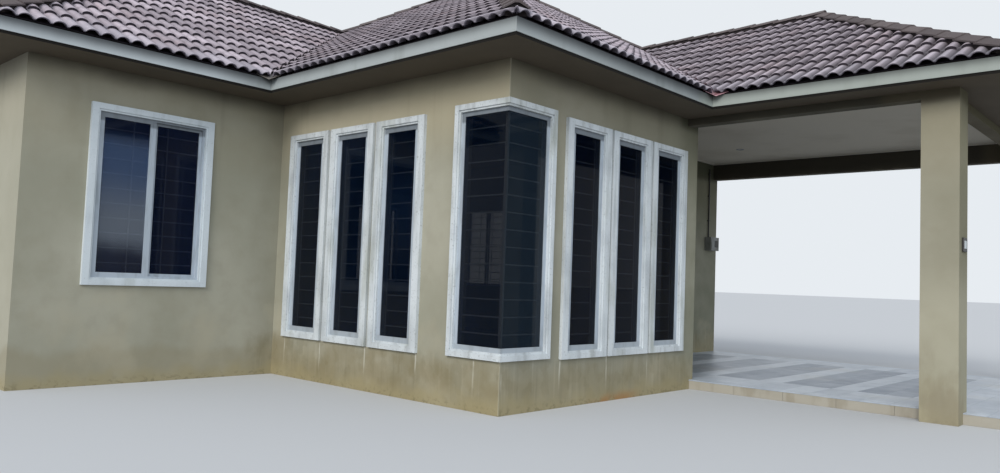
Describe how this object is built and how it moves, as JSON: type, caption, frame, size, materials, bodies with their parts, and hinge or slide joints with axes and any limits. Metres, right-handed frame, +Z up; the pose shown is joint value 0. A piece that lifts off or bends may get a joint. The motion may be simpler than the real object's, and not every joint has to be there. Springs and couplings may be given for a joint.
{
  "type": "bungalow",
  "caption": "Single-storey plastered bungalow with a hipped and valleyed tile roof, a forward bay with a glazed corner, tall narrow windows and an open porch on square columns.",
  "frame": {"origin": "on the ground, under the middle of the roof's outline", "axes": "+Z up, +Y from the porch and the bay's front face towards the back of the house, +X to the right as seen from the front"},
  "size_m": [12.295, 14.03, 6.3261],
  "materials": {
    "concrete": "rough",
    "porch_tiles": "satin",
    "plaster": "matt painted plaster, stained",
    "ceiling_board": "matt painted",
    "eaves_board": "matt painted",
    "fascia_board": "weathered paint",
    "roof_tiles": "matt",
    "white_plaster": "matt painted, weathered",
    "white_aluminium": "white satin coating",
    "dark_glass": "dark tint",
    "door_timber": "satin varnish",
    "meter_plastic": "matt"
  },
  "bodies": {
    "root": {"ground_floor": "concrete", "porch_floor": "porch_tiles", "bay_front_wall": "plaster", "bay_side_wall": "plaster", "bay_return_wall": "plaster", "porch_wall": "plaster", "wing_front_wall": "plaster", "left_wall": "plaster", "back_wall": "plaster", "right_wall": "plaster", "left_column": "plaster", "right_column": "plaster", "left_beam": "plaster", "front_beam": "plaster", "right_beam": "plaster", "porch_ceiling": "ceiling_board", "eaves_lining": "eaves_board", "fascia": "fascia_board", "main_roof": "roof_tiles", "wing_roof": "roof_tiles", "porch_roof": "roof_tiles", "main_roof_caps": "roof_tiles", "wing_roof_caps": "roof_tiles", "porch_roof_caps": "roof_tiles", "corner_surround": "white_plaster", "corner_frame": "white_aluminium", "corner_glass": "dark_glass", "bay_side_surrounds": "white_plaster", "bay_side_frames": "white_aluminium", "bay_side_glass": "dark_glass", "bay_front_surrounds": "white_plaster", "bay_front_frames": "white_aluminium", "bay_front_glass": "dark_glass", "wing_surround": "white_plaster", "wing_frame": "white_aluminium", "wing_glass": "dark_glass", "end_surrounds": "white_plaster", "end_frames": "white_aluminium", "end_glass": "dark_glass", "back_surrounds": "white_plaster", "back_frames": "white_aluminium", "back_glass": "dark_glass", "door_frame": "door_timber", "entrance_door": "door_timber", "meter_box": "meter_plastic"}
  },
  "joints": []
}
